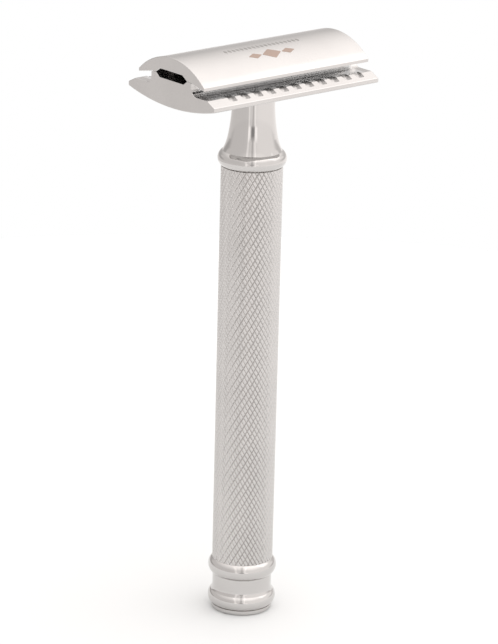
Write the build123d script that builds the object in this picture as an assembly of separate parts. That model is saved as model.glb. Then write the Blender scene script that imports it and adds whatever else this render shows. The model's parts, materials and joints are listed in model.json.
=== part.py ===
from build123d import *
import math
import os

# Three-piece double-edge safety razor, standing on its foot.
# Millimetres. Origin: centre of the foot's underside. +Z: up the handle axis.
# +X: along the head. +Y: across the head.

# ---- driving sizes: handle, from the foot up
FOOT_D = 12.4            # foot disc under the pommel
FOOT_H = 1.0
FOOT_ROUND = 0.45
PLUG_H = 1.0             # spigot of the foot, pressed into the pommel's recess
POMMEL_H = 6.5           # lower bead, cove and plain band, one turned piece
POMMEL_BAND_D = 11.92
POMMEL_BEAD_D = 13.66
POMMEL_LIP_D = 12.1      # lower lip of the bead, over the foot
POMMEL_BEAD_H = 2.9      # height of the lower bead's own arc
POMMEL_COVE_H = 1.0      # flare between the lower bead and the plain band
COVE_D = 12.5            # where the cove meets the lower bead
RING_H = 3.3             # bead ring between the band and the grip
RING_D = 13.76
RING_LIP_D = 12.1        # both ends of the bead ring
GRIP_LENGTH = 82.0
GRIP_D = 12.2            # over the knurl
GRIP_BORE_D = 9.1
NECK_RING_H = 3.1        # bead ring between the grip and the neck
NECK_RING_D = 13.6
NECK_RING_LIP_D = 11.75
NECK_H = 12.4
NECK_FOOT_D = 11.7
NECK_TOP_D = 8.4
NECK_STRAIGHT = 2.4      # plain length at the top, in and just under the guard
NECK_WAIST_D = 9.85      # where the slow taper turns into the quicker flare
NECK_WAIST_H = 2.7       # height of that turn above the neck's foot

# ---- driving sizes: head
HEAD_LENGTH = 41.5       # guard plate, along X
GUARD_DEPTH = 26.0       # guard plate, across Y
GUARD_BELLY = 1.95       # sag of the guard's underside below its tips
TIP_LOW = 0.2            # the tip's small upright face, below and above the tip plane
TIP_HIGH = 0.65
CREST_INSET = 2.05       # crest of the safety bar, in from the tip
CREST_H = 1.68
BAR_ROUND = 0.3
TIP_ROUND = 0.3
BED_HALF = 6.05          # raised bed that the blade bends over: half width
BED_SHOULDER_H = 4.0
BED_H = 4.2
BED_CHAMFER = 0.6
LAND_W = 0.75            # flat land on each side of the bed
CHANNEL_HALF = 3.6       # floor of the channel down the middle of the bed
CHANNEL_H = 3.4
COVE_R = 1.5             # cove between the safety bar's shelf and the bed
SEAT_DEPTH = 0.95        # round seat in the guard's underside, above the belly
SCALLOPS = 11            # notches along each safety bar
SCALLOP_PITCH = 3.2
SCALLOP_W = 1.8          # across a scallop, on the bar's face
SCALLOP_DEPTH = 0.55     # square to the bar's face
SCALLOP_REACH = 1.25     # from the crest down the bar's face to a scallop's end
SCALLOP_RUN = 1.9        # from the crest to the cutter's other end, which is clear of the shelf
SCALLOP_ROUND = 0.35     # corners of a scallop's end
SCALLOP_SHIFT = 1.0      # each row is off centre, so the plate is the same either way round
CAP_LENGTH = 41.5
CAP_DEPTH = 19.8
CAP_TOP_H = 7.85         # crown above the tip plane
CAP_TOP_R = 14.4
CAP_EDGE_H = 3.3         # lower corner of the cap's long edges
CAP_LIP_W = 0.25         # flat under each long edge
CEILING_HALF = 3.3       # ceiling of the cap's own channel
CEILING_H = 5.1
END_ROUND = 0.15         # polished-over rims of the head's two ends

# ---- driving sizes: fasteners and fits
STUD_D = 5.0             # M5 x 0.8 head screw
STUD_PITCH = 0.8
STUD_TURNS = 10          # full turns of thread engaged in the neck
STUD_SEAT = 1.7          # depth pressed into the cap
STUD_POINT = 0.6         # chamfer on the lead end
PIN_D = 3.6              # guide pins, either side of the stud
PIN_SPACING = 24.5
PIN_SEAT = 1.3           # depth pressed into the cap
PIN_TIP_H = -0.6         # lower end of a guide pin, from the tip plane
PIN_POINT = 0.4
ROD_D = 4.0              # M4 tie rod down the middle of the handle
ROD_SEAT = 7.0           # depth of the rod in the neck's spigot
ROD_TAIL = 0.5           # rod showing past the nut
NUT_AF = 7.0
NUT_H = 2.2
LOCK_WASHER_D = 7.6
LOCK_WASHER_H = 0.9
LOCK_WASHER_GAP = 0.8    # split in the lock washer
SPIGOT_L = 7.0           # how far the neck and pommel spigots reach into the grip
RECESS_D = 10.2          # recess in the pommel for the nut
RECESS_H = 4.9
SLIDE_FIT = 0.05         # radial, pieces that slip together by hand
THREAD_FIT = 0.10        # radial, thread reliefs drawn as plain bores
SEAT_FIT = 0.15          # radial, neck top in the guard's round seat

# ---- heights worked out from the foot up
POMMEL_Z = FOOT_H
RING_Z = POMMEL_Z + POMMEL_H
GRIP_Z = RING_Z + RING_H
NECK_RING_Z = GRIP_Z + GRIP_LENGTH
NECK_Z = NECK_RING_Z + NECK_RING_H
NECK_TOP_Z = NECK_Z + NECK_H
TIP_Z = NECK_TOP_Z + GUARD_BELLY - SEAT_DEPTH    # plane through the guard's two tips
CEILING_Z = TIP_Z + CEILING_H
CREST_HALF = GUARD_DEPTH / 2 - CREST_INSET
HEAD_PLANE = Plane(origin=(0, 0, TIP_Z), x_dir=(0, 1, 0), z_dir=(1, 0, 0))

STUD_REACH = STUD_TURNS * STUD_PITCH
SPIGOT_D = GRIP_BORE_D - 2 * SLIDE_FIT
WEB_Z = POMMEL_Z + RECESS_H
NUT_Z = WEB_Z - LOCK_WASHER_H - NUT_H

os.makedirs("parts", exist_ok=True)


def save(shape, node):
    """Write one sub-part to its own STEP file."""
    shape.label = node
    export_step(shape, f"parts/{node}.step")


def tube(outer_d, inner_d, low, high):
    """A plain cylinder or tube on the handle axis, from height low to height high."""
    with BuildPart() as part:
        with Locations((0, 0, low)):
            Cylinder(outer_d / 2, high - low, align=(Align.CENTER, Align.CENTER, Align.MIN))
            if inner_d:
                Cylinder(
                    inner_d / 2, high - low,
                    align=(Align.CENTER, Align.CENTER, Align.MIN), mode=Mode.SUBTRACT,
                )
    return part.part


def bead_ring(lip_d, bead_d, bore_d, low, height):
    """A turned ring whose outside is one arc from lip to lip."""
    with BuildPart() as part:
        with BuildSketch(Plane.XZ):
            with BuildLine():
                Polyline(
                    (lip_d / 2, low), (bore_d / 2, low),
                    (bore_d / 2, low + height), (lip_d / 2, low + height),
                )
                ThreePointArc(
                    (lip_d / 2, low + height), (bead_d / 2, low + height / 2), (lip_d / 2, low),
                )
            make_face()
        revolve(axis=Axis.Z)
    return part.part


def foot():
    """Disc that closes the pommel, with a spigot pressed up into its recess."""
    with BuildPart() as part:
        Cylinder(FOOT_D / 2, FOOT_H, align=(Align.CENTER, Align.CENTER, Align.MIN))
        fillet(part.edges().group_by(Axis.Z)[0], FOOT_ROUND)
        with Locations((0, 0, FOOT_H)):
            Cylinder(RECESS_D / 2 - SLIDE_FIT, PLUG_H, align=(Align.CENTER, Align.CENTER, Align.MIN))
    return part.part


def pommel():
    """Lower bead, cove and plain band, with a recess for the nut and a spigot into the grip."""
    bead_top = POMMEL_Z + POMMEL_BEAD_H
    band_low = bead_top + POMMEL_COVE_H
    band_r, bead_foot_r = POMMEL_BAND_D / 2, POMMEL_LIP_D / 2
    with BuildPart() as part:
        with BuildSketch(Plane.XZ):
            with BuildLine():
                ThreePointArc(
                    (bead_foot_r, POMMEL_Z),
                    (POMMEL_BEAD_D / 2, POMMEL_Z + POMMEL_BEAD_H / 2),
                    (COVE_D / 2, bead_top),
                )
                TangentArc((band_r, band_low), (COVE_D / 2, bead_top), tangent=(0, -1))
                Polyline(
                    (band_r, band_low), (band_r, RING_Z),
                    (SPIGOT_D / 2, RING_Z), (SPIGOT_D / 2, GRIP_Z + SPIGOT_L),
                    (ROD_D / 2 + THREAD_FIT, GRIP_Z + SPIGOT_L), (ROD_D / 2 + THREAD_FIT, WEB_Z),
                    (RECESS_D / 2, WEB_Z), (RECESS_D / 2, POMMEL_Z), (bead_foot_r, POMMEL_Z),
                )
            make_face()
        revolve(axis=Axis.Z)
    return part.part


def neck():
    """Flared neck: plain stud bore from the top, spigot below with a blind hole for the tie rod."""
    spigot_end = NECK_RING_Z - SPIGOT_L
    foot_r, waist_r, top_r = NECK_FOOT_D / 2, NECK_WAIST_D / 2, NECK_TOP_D / 2
    waist_z, straight_z = NECK_Z + NECK_WAIST_H, NECK_TOP_Z - NECK_STRAIGHT
    with BuildPart() as part:
        with BuildSketch(Plane.XZ):
            with BuildLine():
                upper = TangentArc((top_r, straight_z), (waist_r, waist_z), tangent=(0, -1))
                TangentArc((waist_r, waist_z), (foot_r, NECK_Z), tangent=upper % 1)
                Polyline(
                    (foot_r, NECK_Z), (SPIGOT_D / 2, NECK_Z), (SPIGOT_D / 2, spigot_end),
                    (0, spigot_end), (0, NECK_TOP_Z), (top_r, NECK_TOP_Z),
                    (top_r, straight_z),
                )
            make_face()
        revolve(axis=Axis.Z)
        with Locations((0, 0, NECK_TOP_Z)):
            Cylinder(
                STUD_D / 2 + THREAD_FIT, STUD_REACH + 2 * STUD_POINT,
                align=(Align.CENTER, Align.CENTER, Align.MAX), mode=Mode.SUBTRACT,
            )
        with Locations((0, 0, spigot_end)):
            Cylinder(
                ROD_D / 2 + SLIDE_FIT, ROD_SEAT,
                align=(Align.CENTER, Align.CENTER, Align.MIN), mode=Mode.SUBTRACT,
            )
    return part.part


def tie_nut():
    """Hexagon nut inside the pommel's recess."""
    with BuildPart() as part:
        with BuildSketch(Plane.XY.offset(NUT_Z)):
            RegularPolygon(NUT_AF / 2, 6, major_radius=False)
            Circle(ROD_D / 2 + SLIDE_FIT, mode=Mode.SUBTRACT)
        extrude(amount=NUT_H)
    return part.part


def lock_washer():
    """Split washer between the nut and the pommel's web."""
    with BuildPart() as part:
        with BuildSketch(Plane.XY.offset(WEB_Z - LOCK_WASHER_H)):
            Circle(LOCK_WASHER_D / 2)
            Circle(ROD_D / 2 + THREAD_FIT, mode=Mode.SUBTRACT)
            with Locations((LOCK_WASHER_D / 2, 0)):
                Rectangle(LOCK_WASHER_D, LOCK_WASHER_GAP, mode=Mode.SUBTRACT)
        extrude(amount=LOCK_WASHER_H)
    return part.part


def bar_scallops():
    """Flat-bottomed notches over the crest of both safety bars, ending part way down the face."""
    slope = math.atan2(CREST_H - TIP_HIGH, CREST_INSET)
    for side in (1, -1):
        face = Plane(
            origin=(-side * SCALLOP_SHIFT, side * CREST_HALF, TIP_Z + CREST_H),
            x_dir=(1, 0, 0), z_dir=(0, side * math.sin(slope), math.cos(slope)),
        )
        with BuildSketch(face.offset(-SCALLOP_DEPTH)) as notches:
            with Locations((0, side * (SCALLOP_REACH - SCALLOP_RUN) / 2)):
                with GridLocations(SCALLOP_PITCH, 1, SCALLOPS, 1):
                    RectangleRounded(SCALLOP_W, SCALLOP_REACH + SCALLOP_RUN, SCALLOP_ROUND)
        extrude(notches.sketch, amount=3 * SCALLOP_DEPTH, mode=Mode.SUBTRACT)


def guard_plate():
    """Guard: a scalloped safety bar each side of a raised bed with a channel along it."""
    tip = GUARD_DEPTH / 2
    corner = BED_HALF + COVE_R
    bend = COVE_R * (1 - math.sqrt(0.5))
    with BuildPart() as part:
        with BuildSketch(HEAD_PLANE) as section:
            with BuildLine():
                for side in (1, -1):
                    Polyline(
                        (side * tip, -TIP_LOW), (side * tip, TIP_HIGH),
                        (side * CREST_HALF, CREST_H), (side * corner, CREST_H),
                    )
                    ThreePointArc(
                        (side * corner, CREST_H),
                        (side * (BED_HALF + bend), CREST_H + bend),
                        (side * BED_HALF, CREST_H + COVE_R),
                    )
                    Polyline(
                        (side * BED_HALF, CREST_H + COVE_R), (side * BED_HALF, BED_SHOULDER_H),
                        (side * (BED_HALF - BED_CHAMFER), BED_H),
                        (side * (BED_HALF - BED_CHAMFER - LAND_W), BED_H),
                        (side * CHANNEL_HALF, CHANNEL_H),
                    )
                Line((CHANNEL_HALF, CHANNEL_H), (-CHANNEL_HALF, CHANNEL_H))
                ThreePointArc((-tip, -TIP_LOW), (0, -GUARD_BELLY), (tip, -TIP_LOW))
            make_face()
            corners = section.vertices()
            fillet([v for v in corners if abs(v.X) > tip - 0.01], TIP_ROUND)
            fillet([v for v in corners if abs(abs(v.X) - CREST_HALF) < 0.01], BAR_ROUND)
        extrude(amount=HEAD_LENGTH / 2, both=True)
        ends = part.faces().group_by(Axis.X)
        fillet((ends[0] + ends[-1]).edges(), END_ROUND)
        bar_scallops()
        with Locations((0, 0, TIP_Z - GUARD_BELLY + SEAT_DEPTH)):
            Cylinder(
                NECK_TOP_D / 2 + SEAT_FIT, GUARD_BELLY,
                align=(Align.CENTER, Align.CENTER, Align.MAX), mode=Mode.SUBTRACT,
            )
            Cylinder(STUD_D / 2 + THREAD_FIT, 4 * CREST_H + BED_H, mode=Mode.SUBTRACT)
        with Locations((0, 0, TIP_Z)):
            with GridLocations(PIN_SPACING, 1, 2, 1):
                Cylinder(PIN_D / 2 + SLIDE_FIT, 2 * BED_H, mode=Mode.SUBTRACT)
    return part.part


def cap():
    """Arched cap whose long edges clamp the blade down over the guard's bed."""
    edge, land = CAP_DEPTH / 2, BED_HALF - BED_CHAMFER
    edge_top = CAP_TOP_H - CAP_TOP_R + math.sqrt(CAP_TOP_R**2 - edge**2)
    with BuildPart() as part:
        with BuildSketch(HEAD_PLANE):
            with BuildLine():
                for side in (1, -1):
                    Polyline(
                        (side * edge, edge_top), (side * edge, CAP_EDGE_H),
                        (side * (edge - CAP_LIP_W), CAP_EDGE_H),
                        (side * land, BED_H), (side * (land - LAND_W), BED_H),
                        (side * CEILING_HALF, CEILING_H),
                    )
                Line((CEILING_HALF, CEILING_H), (-CEILING_HALF, CEILING_H))
                ThreePointArc((-edge, edge_top), (0, CAP_TOP_H), (edge, edge_top))
            make_face()
        extrude(amount=CAP_LENGTH / 2, both=True)
        ends = part.faces().group_by(Axis.X)
        fillet((ends[0] + ends[-1]).edges(), END_ROUND)
        with Locations((0, 0, CEILING_Z)):
            Cylinder(
                STUD_D / 2, STUD_SEAT,
                align=(Align.CENTER, Align.CENTER, Align.MIN), mode=Mode.SUBTRACT,
            )
            with GridLocations(PIN_SPACING, 1, 2, 1):
                Cylinder(
                    PIN_D / 2, PIN_SEAT,
                    align=(Align.CENTER, Align.CENTER, Align.MIN), mode=Mode.SUBTRACT,
                )
    return part.part


def threaded_stud():
    """Head screw, pressed into the cap; its thread is drawn as a plain rod over the crests."""
    low = NECK_TOP_Z - STUD_REACH
    with BuildPart() as part:
        with Locations((0, 0, low)):
            Cylinder(
                STUD_D / 2, CEILING_Z + STUD_SEAT - low,
                align=(Align.CENTER, Align.CENTER, Align.MIN),
            )
        chamfer(part.edges().group_by(Axis.Z)[0], STUD_POINT)
    return part.part


def guide_pin(x):
    """Pin pressed into the cap at x, which slides in the guard's hole."""
    low = TIP_Z + PIN_TIP_H
    with BuildPart() as part:
        with Locations((x, 0, low)):
            Cylinder(
                PIN_D / 2, CEILING_Z + PIN_SEAT - low,
                align=(Align.CENTER, Align.CENTER, Align.MIN),
            )
        chamfer(part.edges().group_by(Axis.Z)[0], PIN_POINT)
    return part.part


save(foot(), "foot")
save(pommel(), "pommel")
save(bead_ring(RING_LIP_D, RING_D, GRIP_BORE_D, RING_Z, RING_H), "pommel_ring")
save(tube(GRIP_D, GRIP_BORE_D, GRIP_Z, NECK_RING_Z), "grip_sleeve")
save(bead_ring(NECK_RING_LIP_D, NECK_RING_D, GRIP_BORE_D, NECK_RING_Z, NECK_RING_H), "neck_ring")
save(neck(), "neck")
save(tube(ROD_D, 0, NUT_Z - ROD_TAIL, NECK_RING_Z - SPIGOT_L + ROD_SEAT), "tie_rod")
save(tie_nut(), "tie_nut")
save(lock_washer(), "lock_washer")
save(guard_plate(), "guard_plate")
save(cap(), "cap")
save(threaded_stud(), "threaded_stud")
save(guide_pin(-PIN_SPACING / 2), "guide_pin_left")
save(guide_pin(PIN_SPACING / 2), "guide_pin_right")
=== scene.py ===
import json
import math

import bpy
from mathutils import Matrix, Vector


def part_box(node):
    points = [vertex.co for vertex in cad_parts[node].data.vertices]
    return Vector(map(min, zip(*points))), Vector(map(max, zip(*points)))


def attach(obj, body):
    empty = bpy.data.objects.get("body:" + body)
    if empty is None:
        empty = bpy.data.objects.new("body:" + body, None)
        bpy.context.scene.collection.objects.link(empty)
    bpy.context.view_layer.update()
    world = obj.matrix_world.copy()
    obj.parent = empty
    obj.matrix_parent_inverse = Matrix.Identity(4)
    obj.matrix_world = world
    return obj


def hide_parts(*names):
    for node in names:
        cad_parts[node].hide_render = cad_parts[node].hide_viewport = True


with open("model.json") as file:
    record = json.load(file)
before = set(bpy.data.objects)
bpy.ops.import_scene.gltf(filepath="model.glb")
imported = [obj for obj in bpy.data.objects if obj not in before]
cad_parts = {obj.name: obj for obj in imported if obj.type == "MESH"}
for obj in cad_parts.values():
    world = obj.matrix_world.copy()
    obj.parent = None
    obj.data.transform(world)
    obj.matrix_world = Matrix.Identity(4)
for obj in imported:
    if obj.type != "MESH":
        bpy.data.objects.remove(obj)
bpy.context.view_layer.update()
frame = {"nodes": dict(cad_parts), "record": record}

MM = 0.001
FINE_WELD = 0.001 * MM
nodes = frame["nodes"]

# ---------------------------------------------------------------- modelling helpers


def select_only(obj):
    """Make obj the one selected, active object."""
    bpy.ops.object.select_all(action="DESELECT")
    obj.select_set(True)
    bpy.context.view_layer.objects.active = obj


def new_piece(name):
    """Name the object that an operator has just added."""
    obj = bpy.context.active_object
    obj.name = obj.data.name = name
    select_only(obj)
    return obj


def apply_modifiers(obj):
    select_only(obj)
    for modifier in list(obj.modifiers):
        bpy.ops.object.modifier_apply(modifier=modifier.name)


def place_in_mesh(obj):
    """Move the object's place and turn into its mesh."""
    select_only(obj)
    bpy.ops.object.transform_apply(location=True, rotation=True, scale=True)


def edit(obj):
    """Open obj in edit mode with all of it selected."""
    select_only(obj)
    bpy.ops.object.mode_set(mode="EDIT")
    bpy.ops.mesh.select_mode(type="VERT")
    bpy.ops.mesh.select_all(action="SELECT")


def done():
    bpy.ops.object.mode_set(mode="OBJECT")


def face_outward(obj):
    edit(obj)
    bpy.ops.mesh.normals_make_consistent(inside=False)
    done()


def weld(obj, distance):
    """Merge the vertices of obj that are closer than distance."""
    edit(obj)
    bpy.ops.mesh.remove_doubles(threshold=distance)
    done()


def trim(obj, point, normal, tolerance, fill=False):
    """Cut away what lies beyond a plane, and close the cut if fill is set."""
    edit(obj)
    bpy.ops.mesh.bisect(
        plane_co=point, plane_no=normal, clear_outer=True, use_fill=fill, threshold=tolerance,
    )
    done()


ARRAY_WELD = 0.004 * MM


def array(obj, count, step):
    """Repeat obj along step, in metres, and merge the copies where they touch."""
    modifier = obj.modifiers.new("Repeat", "ARRAY")
    modifier.count = count
    modifier.use_relative_offset = False
    modifier.use_constant_offset = True
    modifier.constant_offset_displace = step
    modifier.use_merge_vertices = True
    modifier.merge_threshold = ARRAY_WELD
    apply_modifiers(obj)


def select_open_edges(obj):
    """Select the open boundary edges of obj. Ends in edit mode."""
    edit(obj)
    bpy.ops.mesh.select_mode(type="EDGE")
    bpy.ops.mesh.select_all(action="DESELECT")
    bpy.ops.mesh.select_non_manifold(extend=False)


def select_rim(obj, height):
    """Select the open boundary edges of obj that lie at one height. Ends in edit mode."""
    select_open_edges(obj)
    done()
    for edge in obj.data.edges:
        middle = sum(obj.data.vertices[v].co.z for v in edge.vertices) / 2
        edge.select = edge.select and abs(middle - height) < FINE_WELD
    bpy.ops.object.mode_set(mode="EDIT")


# ---------------------------------------------------------------- node helpers


def combined(tree, operation, first, second):
    """One sum on two values, each a number or a socket."""
    node = tree.nodes.new("ShaderNodeMath")
    node.operation = operation
    for socket, value in zip(node.inputs, (first, second)):
        if isinstance(value, (int, float)):
            socket.default_value = value
        else:
            tree.links.new(value, socket)
    return node.outputs["Value"]


def mapped(tree, source, edges, ends, smooth=True):
    """A value that runs from one end to the other as source runs from edge to edge."""
    node = tree.nodes.new("ShaderNodeMapRange")
    node.interpolation_type = "SMOOTHSTEP" if smooth else "LINEAR"
    for key, value in zip(("From Min", "From Max", "To Min", "To Max"), edges + ends):
        node.inputs[key].default_value = value
    tree.links.new(source, node.inputs["Value"])
    return node.outputs["Result"]


def window(tree, source, edges):
    """1 where source is between the two inner edges, falling to 0 at the two outer ones."""
    rise = mapped(tree, source, edges[:2], (0, 1))
    return combined(tree, "MULTIPLY", rise, mapped(tree, source, edges[2:], (1, 0)))


def mixed_colour(tree, factor, colour_a, colour_b):
    """colour_a where factor is 0 and colour_b where it is 1. Each is a tuple or a socket."""
    node = tree.nodes.new("ShaderNodeMix")
    node.data_type = "RGBA"
    tree.links.new(factor, node.inputs["Factor"])
    sockets = [socket for socket in node.inputs if socket.type == "RGBA"]
    for socket, colour in zip(sockets, (colour_a, colour_b)):
        if isinstance(colour, tuple):
            socket.default_value = colour
        else:
            tree.links.new(colour, socket)
    return next(socket for socket in node.outputs if socket.type == "RGBA")


# ---------------------------------------------------------------- materials

CLOUD_SCALE, CLOUD_DETAIL = 90, 4
CLOUD_EDGES = (0.35, 0.65)
DULLEST, BRIGHTEST = 0.97, 1.02
GRAIN_DETAIL = 3
GRAIN_HEIGHT = 0.02 * MM


def plated(name, colour, roughness, grain, grain_scale, stretch=(1, 1, 1), smear=0.04):
    """Metal with a fine grain, a little uneven in tone and gloss."""
    material = bpy.data.materials.new(name)
    material.use_nodes = True
    tree = material.node_tree
    make, link = tree.nodes.new, tree.links.new
    shader = tree.nodes["Principled BSDF"]
    shader.inputs["Metallic"].default_value = 1.0

    place = make("ShaderNodeTexCoord")
    scaled = make("ShaderNodeMapping")
    scaled.inputs["Scale"].default_value = stretch
    link(place.outputs["Object"], scaled.inputs["Vector"])

    cloud = make("ShaderNodeTexNoise")
    cloud.inputs["Scale"].default_value = CLOUD_SCALE
    cloud.inputs["Detail"].default_value = CLOUD_DETAIL
    link(scaled.outputs["Vector"], cloud.inputs["Vector"])

    tone = make("ShaderNodeValToRGB")
    low, high = tone.color_ramp.elements
    low.position, high.position = CLOUD_EDGES
    low.color = [c * DULLEST for c in colour] + [1]
    high.color = [c * BRIGHTEST for c in colour] + [1]
    link(cloud.outputs["Fac"], tone.inputs["Fac"])
    link(tone.outputs["Color"], shader.inputs["Base Color"])

    gloss = make("ShaderNodeMapRange")
    gloss.inputs["To Min"].default_value = roughness - smear
    gloss.inputs["To Max"].default_value = roughness + smear
    link(cloud.outputs["Fac"], gloss.inputs["Value"])
    link(gloss.outputs["Result"], shader.inputs["Roughness"])

    fine = make("ShaderNodeTexNoise")
    fine.inputs["Scale"].default_value = grain_scale
    fine.inputs["Detail"].default_value = GRAIN_DETAIL
    link(scaled.outputs["Vector"], fine.inputs["Vector"])
    bump = make("ShaderNodeBump")
    bump.inputs["Strength"].default_value = grain
    bump.inputs["Distance"].default_value = GRAIN_HEIGHT
    link(fine.outputs["Fac"], bump.inputs["Height"])
    link(bump.outputs["Normal"], shader.inputs["Normal"])
    return material


CHROME = (0.60, 0.585, 0.575)
guard_chrome = plated("Guard_chrome", CHROME, 0.22, grain=0.12, grain_scale=9000)
cap_chrome = plated("Cap_chrome", CHROME, 0.17, grain=0.12, grain_scale=9000)
polished_chrome = plated("Polished_chrome", CHROME, 0.08, grain=0.05, grain_scale=3000, smear=0.03)
knurled_chrome = plated("Knurled_chrome", CHROME, 0.2, grain=0.1, grain_scale=6000)
turned_steel = plated(
    "Turned_steel", (0.50, 0.49, 0.48), 0.3, grain=0.3, grain_scale=2500, stretch=(1, 1, 12),
)
etched_chrome = plated("Etched_chrome", (0.36, 0.35, 0.34), 0.4, grain=0.2, grain_scale=7000)
inlay_enamel = plated("Inlay_enamel", (0.40, 0.31, 0.265), 0.45, grain=0.2, grain_scale=7000)

FINISH_OF_NODE = {"cap": cap_chrome, "guard_plate": guard_chrome}
FINISH_OF_SLOT = {
    "polished_chrome": polished_chrome,
    "knurled_chrome": knurled_chrome,
    "steel": turned_steel,
}

# Painted light: the brighter base colour laid where shade falls inside and under the head, in place
# of the light that bounces there.
PAINTED_LIGHT_CHROME = (0.80, 0.80, 0.80, 1)
SHELF_DROP = 2.6 * MM    # the guard's shelf, below the top of its bed
SHELF_OUTER = 10.7 * MM
BED_INNER = 5.5 * MM
RECESS_HALF_LENGTH = 19.0 * MM
NOTCH_WALL_NORMAL = 0.7  # a wall of the bar's notches faces more than this along the head
UNDERSIDE_NORMAL = -0.3  # the cap's underside faces more than this downwards


def paint_light(material, tests):
    """Paint light into the plating where every test holds: a brighter base colour that stands in
    for the light bouncing into these shaded places.

    Each test is (source, axis, whether to take its size without sign, operation, limit).
    """
    tree = material.node_tree
    base = tree.nodes["Principled BSDF"].inputs["Base Color"]
    plain_colour = base.links[0].from_socket
    place = tree.nodes.new("ShaderNodeTexCoord")
    inside = None
    for source, axis, unsigned, operation, limit in tests:
        split = tree.nodes.new("ShaderNodeSeparateXYZ")
        tree.links.new(place.outputs[source], split.inputs["Vector"])
        value = split.outputs[axis]
        if unsigned:
            value = combined(tree, "ABSOLUTE", value, 0)
        passed = combined(tree, operation, value, limit)
        inside = combined(tree, "MULTIPLY", inside, passed) if inside else passed
    tree.links.new(mixed_colour(tree, inside, plain_colour, PAINTED_LIGHT_CHROME), base)


def finish_cad_nodes():
    """Give every CAD node its finish, with painted light (a brighter base colour) in the recess
    under the cap, on the bar's notch walls and on the cap's underside.
    """
    for row in frame["record"]["subparts"]:
        name = row["node"]
        finish = FINISH_OF_NODE.get(name) or FINISH_OF_SLOT[row["material_slot"]]
        nodes[name].data.materials.clear()
        nodes[name].data.materials.append(finish)
    guard_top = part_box("guard_plate")[1].z
    # Painted light in the guard's recess under the cap and on its notch walls, and on the cap's
    # underside.
    paint_light(guard_chrome, (
        ("Object", "Z", False, "GREATER_THAN", guard_top - SHELF_DROP),
        ("Object", "Y", True, "LESS_THAN", SHELF_OUTER),
        ("Object", "Y", True, "GREATER_THAN", BED_INNER),
        ("Object", "X", True, "LESS_THAN", RECESS_HALF_LENGTH),
    ))
    paint_light(guard_chrome, (
        ("Normal", "X", True, "GREATER_THAN", NOTCH_WALL_NORMAL),
        ("Object", "X", True, "LESS_THAN", RECESS_HALF_LENGTH),
    ))
    paint_light(cap_chrome, (
        ("Normal", "Z", False, "LESS_THAN", UNDERSIDE_NORMAL),
        ("Object", "Y", True, "GREATER_THAN", BED_INNER),
    ))


# ---------------------------------------------------------------- knurled grip

COARSE_STARTS = 31       # right-leaning cuts round the grip
FINE_STARTS = 47         # left-leaning cuts
KNURL_LEAN = math.radians(30)
KNURL_DEPTH = 0.14 * MM
KNURL_STEPS = ((0.11 * MM, 0.8), (0.12 * MM, 0.2))  # flank, then crown: (inset, share of the depth)
KNURL_WELD = 0.003 * MM
KNURL_CUT = 1e-9
GRIP_BORE = 4.55 * MM    # radius


def knurled_diamond(name, side_a, side_b):
    """One diamond in the XZ plane: sloping groove flanks round a low crowned pad. Out is -Y."""
    bpy.ops.mesh.primitive_plane_add(size=1)
    diamond = new_piece(name)
    corner_at = {
        (-1, -1): Vector(), (1, -1): side_b, (1, 1): side_a + side_b, (-1, 1): side_a,
    }
    for vertex in diamond.data.vertices:
        key = (int(math.copysign(1, vertex.co.x)), int(math.copysign(1, vertex.co.y)))
        vertex.co = corner_at[key] + Vector((0, KNURL_DEPTH, 0))
    edit(diamond)
    bpy.ops.mesh.normals_make_consistent(inside=False)
    for inset, share in KNURL_STEPS:
        bpy.ops.mesh.inset(thickness=inset, depth=0)
        bpy.ops.transform.translate(value=(0, -KNURL_DEPTH * share, 0))
    done()
    return diamond


def knurled_sheet(name, girth, low, high):
    """Flat knurled sheet in the XZ plane, girth wide and from low to high, trimmed to size."""
    length = high - low
    lean_a = Vector((math.sin(KNURL_LEAN), 0, math.cos(KNURL_LEAN)))
    lean_b = Vector((-math.sin(KNURL_LEAN), 0, math.cos(KNURL_LEAN)))
    side_a, side_b = lean_a * girth / FINE_STARTS, lean_b * girth / COARSE_STARTS
    sheet = knurled_diamond(name, side_a, side_b)

    reach = girth / (2 * math.sin(KNURL_LEAN)) + length / (2 * math.cos(KNURL_LEAN))
    count_a, count_b = (math.ceil(reach / side.length) + 1 for side in (side_a, side_b))
    array(sheet, count_a, side_a)
    array(sheet, count_b, side_b)
    middle = (side_a * count_a + side_b * count_b) / 2
    sheet.data.transform(Matrix.Translation(Vector((0, 0, low + length / 2)) - middle))
    trim(sheet, (girth / 2, 0, 0), (1, 0, 0), KNURL_CUT)
    trim(sheet, (-girth / 2, 0, 0), (-1, 0, 0), KNURL_CUT)
    trim(sheet, (0, 0, high), (0, 0, 1), KNURL_CUT)
    trim(sheet, (0, 0, low), (0, 0, -1), KNURL_CUT)
    return sheet


def knurled_grip():
    """Diamond-knurled tube: a sheet rolled up, welded and closed by end faces and a bore."""
    low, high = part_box("grip_sleeve")
    radius = (high.x - low.x) / 2
    grip = knurled_sheet("knurled_grip", 2 * math.pi * radius, low.z, high.z)
    roll = grip.modifiers.new("Roll", "SIMPLE_DEFORM")
    roll.deform_method = "BEND"
    roll.deform_axis = "Z"
    roll.angle = 2 * math.pi
    apply_modifiers(grip)
    grip.data.transform(Matrix.Translation((0, -radius, 0)))
    weld(grip, KNURL_WELD)

    for height in (low.z, high.z):
        select_rim(grip, height)
        bpy.ops.mesh.extrude_region_move()
        bpy.ops.transform.resize(
            value=(GRIP_BORE / radius, GRIP_BORE / radius, 1), center_override=(0, 0, height),
        )
        done()
    select_open_edges(grip)
    bpy.ops.mesh.bridge_edge_loops()
    done()
    face_outward(grip)
    bpy.ops.object.shade_flat()
    grip.data.materials.append(knurled_chrome)
    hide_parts("grip_sleeve")
    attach(grip, "handle")


# ---------------------------------------------------------------- head screw

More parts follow.
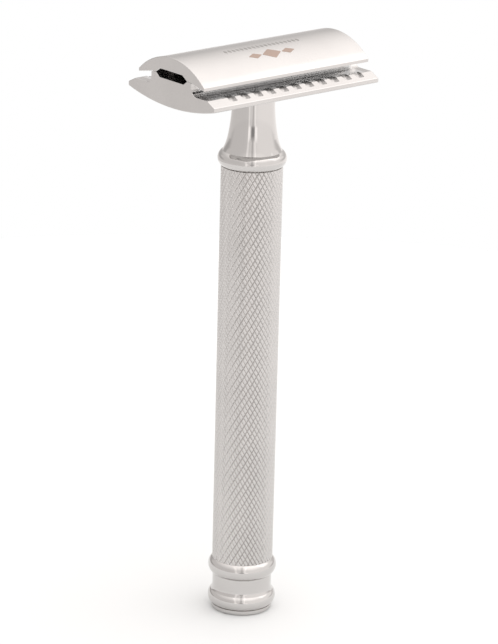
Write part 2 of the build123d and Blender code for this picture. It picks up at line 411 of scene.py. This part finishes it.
THREAD_PITCH = 0.8 * MM
THREAD_STEPS = 48        # round one turn
THREAD_LEAD_IN = 1.4     # turns below the stud, which the lower cut takes off again
ROOT_SHARE = 0.8         # radius of the root, of the crest's
THREAD_WELD = 0.002 * MM
THREAD_SMOOTH = math.radians(25)


def head_screw():
    """Threaded stud: one tooth of the thread, screwed up the axis and cut off square."""
    low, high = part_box("threaded_stud")
    crest = (high.x - low.x) / 2
    root = crest * ROOT_SHARE
    start = low.z - THREAD_LEAD_IN * THREAD_PITCH
    bpy.ops.mesh.primitive_plane_add(size=MM, location=(root, 0, start))
    screw = new_piece("head_screw")
    place_in_mesh(screw)
    edit(screw)
    bpy.ops.mesh.merge(type="CENTER")
    flat, flank = THREAD_PITCH / 8, THREAD_PITCH * 3 / 8
    for out, up in ((crest - root, flank), (0, flat), (root - crest, flank), (0, flat)):
        bpy.ops.mesh.extrude_region_move(TRANSFORM_OT_translate={"value": (out, 0, up)})
    done()
    winding = screw.modifiers.new("Thread", "SCREW")
    winding.screw_offset = THREAD_PITCH
    winding.iterations = math.ceil((high.z - start) / THREAD_PITCH) + 1
    winding.steps = winding.render_steps = THREAD_STEPS
    winding.use_merge_vertices = True
    winding.merge_threshold = FINE_WELD
    apply_modifiers(screw)
    weld(screw, THREAD_WELD)
    for height, side in ((high.z, 1), (low.z, -1)):
        trim(screw, (0, 0, height), (0, 0, side), FINE_WELD, fill=True)
    weld(screw, FINE_WELD)
    face_outward(screw)
    bpy.ops.object.shade_smooth_by_angle(angle=THREAD_SMOOTH)
    screw.data.materials.append(turned_steel)
    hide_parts("threaded_stud")
    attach(screw, "cap")


# ---------------------------------------------------------------- marks on the cap

MARK_RISE = 0.02 * MM
MARK_CUTS = 5
MARK_START = 1 * MM      # above the cap, before a mark is draped
POINT_SOFTNESS = 0.08    # of a lozenge's depth
POINT_SEGMENTS = 3
INLAY_LINE_Y = -5.0 * MM
INLAYS = (               # place along the cap, width and depth
    (-4.1 * MM, 3.3 * MM, 1.6 * MM),
    (0, 4.7 * MM, 2.9 * MM),
    (4.1 * MM, 3.3 * MM, 1.6 * MM),
)
ETCHED_LINE_Y = -1.9 * MM
ETCHED_COUNT = 19
ETCHED_PITCH = 1.0 * MM
ETCHED_WIDTH = 0.7 * MM
ETCHED_DEPTH = 1.4 * MM


def lay_on_cap(mark, material):
    """Drape a flat mark on the cap's crown and give it a little thickness."""
    edit(mark)
    bpy.ops.mesh.subdivide(number_cuts=MARK_CUTS)
    done()
    wrap = mark.modifiers.new("Lie", "SHRINKWRAP")
    wrap.target = nodes["cap"]
    wrap.wrap_method = "PROJECT"
    wrap.use_project_z = True
    wrap.use_negative_direction = True
    wrap.use_positive_direction = False
    skin = mark.modifiers.new("Skin", "SOLIDIFY")
    skin.thickness = 2 * MARK_RISE
    skin.offset = 0
    apply_modifiers(mark)
    face_outward(mark)
    mark.data.materials.append(material)
    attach(mark, "cap")


def lozenge(name, x, y, width, depth):
    """A flat four-pointed lozenge above the cap, with softened points."""
    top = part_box("cap")[1].z + MARK_START
    bpy.ops.mesh.primitive_circle_add(vertices=4, radius=1, fill_type="NGON", location=(x, y, top))
    mark = new_piece(name)
    mark.scale = (width / 2, depth / 2, 1)
    place_in_mesh(mark)
    edit(mark)
    bpy.ops.mesh.bevel(offset=depth * POINT_SOFTNESS, segments=POINT_SEGMENTS, affect="VERTICES")
    bpy.ops.mesh.poke()
    done()
    return mark


def cap_marks():
    """A chain of enamelled lozenges, with a fine etched row behind it."""
    for index, (x, width, depth) in enumerate(INLAYS, start=1):
        lay_on_cap(lozenge(f"cap_inlay_{index}", x, INLAY_LINE_Y, width, depth), inlay_enamel)
    first = -(ETCHED_COUNT - 1) / 2 * ETCHED_PITCH
    row = lozenge("cap_etched_row", first, ETCHED_LINE_Y, ETCHED_WIDTH, ETCHED_DEPTH)
    array(row, ETCHED_COUNT, (ETCHED_PITCH, 0, 0))
    lay_on_cap(row, etched_chrome)


# ---------------------------------------------------------------- camera and floor

CAMERA_AZIMUTH = math.radians(-40.44)
CAMERA_PITCH = math.radians(18.16)
CAMERA_ROLL = math.radians(1.45)
CAMERA_DISTANCE = 693.7 * MM
CAMERA_AIM = Vector((0, 0, 60 * MM))
CAMERA_SIDESTEP = 0.19 * MM
CAMERA_RISE = 0.46 * MM
CAMERA_CLIP = (0.01, 50)
LENS_MM = 195.65
SENSOR_MM = 36

FLOOR_RADIUS = 0.26
FLOOR_SIDES = 128
FLOOR_COLOUR = (0.80, 0.815, 0.82, 1)
FLOOR_ROUGHNESS = 0.8


def direction_at(azimuth, elevation):
    """Direction away from the razor, turned from its front and raised from the level."""
    return Vector((
        math.sin(azimuth) * math.cos(elevation),
        -math.cos(azimuth) * math.cos(elevation),
        math.sin(elevation),
    ))


def camera():
    """Long lens, a little above the head and off its left front corner. Returns its direction."""
    back = direction_at(CAMERA_AZIMUTH, CAMERA_PITCH)
    level = Vector((math.cos(CAMERA_AZIMUTH), math.sin(CAMERA_AZIMUTH), 0))
    upright = back.cross(level)
    right = level * math.cos(CAMERA_ROLL) + upright * math.sin(CAMERA_ROLL)
    up = upright * math.cos(CAMERA_ROLL) - level * math.sin(CAMERA_ROLL)
    data = bpy.data.cameras.new("Camera")
    data.lens = LENS_MM
    data.sensor_width = SENSOR_MM
    data.clip_start, data.clip_end = CAMERA_CLIP
    obj = bpy.data.objects.new("Camera", data)
    bpy.context.scene.collection.objects.link(obj)
    place = CAMERA_AIM + back * CAMERA_DISTANCE + right * CAMERA_SIDESTEP + up * CAMERA_RISE
    turn = Matrix((right, up, back)).transposed().to_4x4()
    obj.matrix_world = Matrix.Translation(place) @ turn
    bpy.context.scene.camera = obj
    return back


def floor():
    """Plain pale round floor under the foot."""
    bpy.ops.object.select_all(action="DESELECT")
    bpy.ops.mesh.primitive_circle_add(
        vertices=FLOOR_SIDES, radius=FLOOR_RADIUS, fill_type="NGON",
    )
    ground = new_piece("floor")
    material = bpy.data.materials.new("Pale_floor")
    material.use_nodes = True
    shader = material.node_tree.nodes["Principled BSDF"]
    shader.inputs["Base Color"].default_value = FLOOR_COLOUR
    shader.inputs["Roughness"].default_value = FLOOR_ROUGHNESS
    ground.data.materials.append(material)


# ---------------------------------------------------------------- light

# Edges are cosines: 1 is straight at the direction that is measured, 0 is square to it.
SKY_EDGES, SKY_TONES = (0.2, 0.95), (0.65, 1.68)         # upwards
BELOW_EDGES, BELOW_TONES = (-0.12, 0.0), (1.05, 0.67)    # upwards
FRONT_EDGES, FRONT_TONES = (-0.6, -0.1), (0.67, 1.0)     # toward the camera
FLANK_EDGES, FLANK_TONE = (0.45, 0.75), 1.0              # to either side
FLANK_FOOT = (0.0, 0.2)                                  # upwards
SIDED_EDGES, SIDED_GAIN = (-0.7, 0.6), (0.83, 1.18)      # to the right

NEAR_CAMERA = (0.25, 0.5)                                # toward the camera
LENS_HEIGHTS = (-0.05, -0.02, 0.07, 0.10)                # upwards
LAMP_EDGES, LAMP_GLOW = (0.19, 0.22, 0.34, 0.38), 0.4    # to either side
LEFT_STRIP = (-0.40, -0.36, -0.29, -0.25)                # to the right
RIGHT_STRIP = (0.13, 0.16, 0.20, 0.23)
STRIP_GLOW = 0.3
STAND_EDGES, STAND_SHADE = (0.04, 0.08), 0.3             # to either side
LENS_EDGES, LENS_SHADE = (0.11, 0.15), 0.65              # to either side

WARM_WHITE = (1, 0.965, 0.945, 1)
WHITE = (1, 1, 1, 1)


def softbox(name, azimuth, elevation, distance, width, height, power):
    """Area light that faces the razor's middle."""
    back = direction_at(math.radians(azimuth), math.radians(elevation))
    data = bpy.data.lights.new(name, "AREA")
    data.shape = "RECTANGLE"
    data.size, data.size_y, data.energy = width, height, power
    light = bpy.data.objects.new(name, data)
    bpy.context.scene.collection.objects.link(light)
    light.location = CAMERA_AIM + back * distance
    light.rotation_mode = "QUATERNION"
    light.rotation_quaternion = (-back).to_track_quat("-Z", "Y")


def along(tree, way, direction):
    """How far the direction that is looked in agrees with a fixed one, from -1 to 1."""
    node = tree.nodes.new("ShaderNodeVectorMath")
    node.operation = "DOT_PRODUCT"
    node.inputs[1].default_value = direction
    tree.links.new(way.outputs["Generated"], node.inputs[0])
    return node.outputs["Value"]


def tent_tone(tree, upward, forward, rightward, sideways):
    """White tent, bright overhead, dim at the horizon and brighter on the camera's right."""
    sky = mapped(tree, upward, SKY_EDGES, SKY_TONES, smooth=False)
    below = mapped(tree, upward, BELOW_EDGES, BELOW_TONES)
    front = mapped(tree, forward, FRONT_EDGES, FRONT_TONES)
    flank = combined(
        tree, "MULTIPLY", mapped(tree, sideways, FLANK_EDGES, (0, FLANK_TONE)),
        mapped(tree, upward, FLANK_FOOT, (0, 1)),
    )
    tone = combined(tree, "MAXIMUM", combined(tree, "MAXIMUM", sky, below), front)
    tone = combined(tree, "MAXIMUM", tone, flank)
    return combined(tree, "MULTIPLY", tone, mapped(tree, rightward, SIDED_EDGES, SIDED_GAIN))


def camera_side(tree, tone, upward, forward, rightward, sideways):
    """The tent's tone with the lamps, strips, stand and lens that stand on the camera's side."""
    near = mapped(tree, forward, NEAR_CAMERA, (0, 1))
    lens_high = window(tree, upward, LENS_HEIGHTS)
    lamps = combined(tree, "MULTIPLY", window(tree, sideways, LAMP_EDGES), lens_high)
    strips = combined(
        tree, "ADD", window(tree, rightward, LEFT_STRIP), window(tree, rightward, RIGHT_STRIP),
    )
    glow = combined(
        tree, "ADD", combined(tree, "MULTIPLY", lamps, LAMP_GLOW),
        combined(tree, "MULTIPLY", STRIP_GLOW, strips),
    )
    stand = mapped(tree, sideways, STAND_EDGES, (STAND_SHADE, 0))
    lens = combined(
        tree, "MULTIPLY", mapped(tree, sideways, LENS_EDGES, (LENS_SHADE, 0)), lens_high,
    )
    shade = combined(tree, "MAXIMUM", stand, lens)
    lit = combined(tree, "ADD", tone, combined(tree, "MULTIPLY", near, glow))
    gap = combined(tree, "MULTIPLY", near, shade)
    return combined(tree, "MULTIPLY", lit, combined(tree, "SUBTRACT", 1, gap))


def studio(toward_camera):
    """Tent of light around the razor, plain white where it is looked at straight, and a softbox."""
    world = bpy.data.worlds.new("Studio")
    bpy.context.scene.world = world
    world.use_nodes = True
    tree = world.node_tree
    way = tree.nodes.new("ShaderNodeTexCoord")
    level = Vector((toward_camera.x, toward_camera.y, 0)).normalized()
    right = Vector((0, 0, 1)).cross(level)
    upward = along(tree, way, Vector((0, 0, 1)))
    forward = along(tree, way, level)
    rightward = along(tree, way, right)
    sideways = combined(tree, "ABSOLUTE", rightward, 0)

    tone = tent_tone(tree, upward, forward, rightward, sideways)
    tone = camera_side(tree, tone, upward, forward, rightward, sideways)
    looked_at = tree.nodes.new("ShaderNodeLightPath").outputs["Is Camera Ray"]
    strength = tree.nodes.new("ShaderNodeMix")
    strength.inputs["B"].default_value = 1.0
    tree.links.new(looked_at, strength.inputs["Factor"])
    tree.links.new(tone, strength.inputs["A"])
    background = tree.nodes["Background"]
    tint = mixed_colour(tree, looked_at, WARM_WHITE, WHITE)
    tree.links.new(tint, background.inputs["Color"])
    tree.links.new(strength.outputs["Result"], background.inputs["Strength"])
    softbox(
        "right_softbox", azimuth=60, elevation=40, distance=0.6, width=0.35, height=0.35,
        power=0.15,
    )
    bpy.context.scene.view_settings.view_transform = "Standard"


finish_cad_nodes()
knurled_grip()
head_screw()
cap_marks()
floor()
studio(camera())
